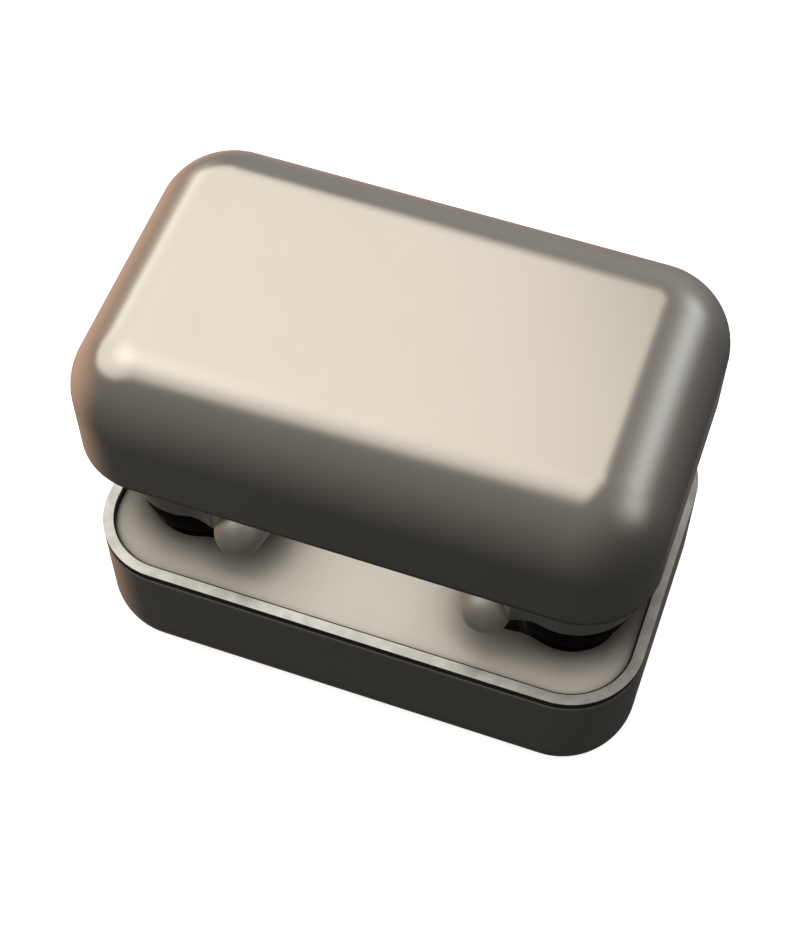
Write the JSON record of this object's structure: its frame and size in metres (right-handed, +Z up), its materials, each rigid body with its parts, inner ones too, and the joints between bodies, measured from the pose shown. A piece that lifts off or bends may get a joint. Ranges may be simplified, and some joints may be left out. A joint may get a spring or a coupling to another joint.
{
  "type": "earbud case",
  "caption": "Rounded metal charging case for wireless earbuds: lift-off lid, tray with pockets, a stemmed earbud in each, contact pins, rear charging socket.",
  "frame": {"origin": "centre of the flat underside of the base", "axes": "+X to the right along the width, -Y to the front, +Z up"},
  "size_m": [0.077, 0.0474, 0.0636],
  "materials": {
    "sand_metal": "satin, sand-beige anodised",
    "bright_metal": "fine-turned satin, pale sand",
    "sand_tray": "soft satin, sand-beige",
    "black_rubber": "matt",
    "grey_plastic": "matt moulded",
    "black_plastic": "matt moulded",
    "liner_plastic": "matt moulded",
    "foam": "adhesive foam",
    "foil": "foil wrap",
    "board": "lacquered circuit board",
    "steel": "plain",
    "gold": "gold plated",
    "magnet": "nickel plated",
    "silicone": "soft silicone",
    "light_pipe": "clouded clear"
  },
  "bodies": {
    "base": {"base_shell": "sand_metal", "rim_gasket": "black_rubber", "rim_ring": "bright_metal", "tray": "sand_tray", "chassis": "grey_plastic", "frame_screws": "steel", "battery": "foil", "battery_pad": "foam", "main_board": "board", "charging_socket": "steel", "socket_bezel": "black_plastic", "status_light": "light_pipe", "button_switch": "black_plastic", "left_pin_holder": "black_plastic", "right_pin_holder": "black_plastic", "left_pin_springs": "steel", "right_pin_springs": "steel", "base_magnets": "magnet", "pocket_magnets": "magnet"},
    "button": {"pairing_button": "sand_metal"},
    "left_contact": {"left_pins": "gold"},
    "right_contact": {"right_pins": "gold"},
    "lid": {"lid_shell": "sand_metal", "lid_liner": "liner_plastic", "lid_magnets": "magnet"},
    "left_bud": {"left_bud_cover": "sand_metal", "left_bud_body": "black_plastic", "left_nozzle": "black_plastic", "left_ear_tip": "silicone", "left_nozzle_mesh": "steel", "left_driver": "grey_plastic", "left_bud_cell": "foil", "left_bud_board": "board", "left_bud_pads": "gold", "left_bud_magnet": "magnet"},
    "right_bud": {"right_bud_cover": "sand_metal", "right_bud_body": "black_plastic", "right_nozzle": "black_plastic", "right_ear_tip": "silicone", "right_nozzle_mesh": "steel", "right_driver": "grey_plastic", "right_bud_cell": "foil", "right_bud_board": "board", "right_bud_pads": "gold", "right_bud_magnet": "magnet"}
  },
  "joints": [
    {"name": "lid_lift", "type": "slide", "parent": "base", "child": "lid", "axis": [0, 0, 1], "range_m": [-0.0218, 0.02]},
    {"name": "left_bud_lift", "type": "slide", "parent": "base", "child": "left_bud", "axis": [0, 0, 1], "range_m": [0, 0.016]},
    {"name": "right_bud_lift", "type": "slide", "parent": "base", "child": "right_bud", "axis": [0, 0, 1], "range_m": [0, 0.016]},
    {"name": "button_press", "type": "slide", "parent": "base", "child": "button", "axis": [0, -1, 0], "range_m": [0, 0.00035], "stiffness_N_per_m": 600, "springref_m": -0.0005},
    {"name": "left_pins_press", "type": "slide", "parent": "base", "child": "left_contact", "axis": [0, 0, -1], "range_m": [0, 0.0006], "stiffness_N_per_m": 200, "springref_m": -0.0005, "deforming": ["left_pin_springs"]},
    {"name": "right_pins_press", "type": "slide", "parent": "base", "child": "right_contact", "axis": [0, 0, -1], "range_m": [0, 0.0006], "stiffness_N_per_m": 200, "springref_m": -0.0005, "deforming": ["right_pin_springs"]}
  ]
}
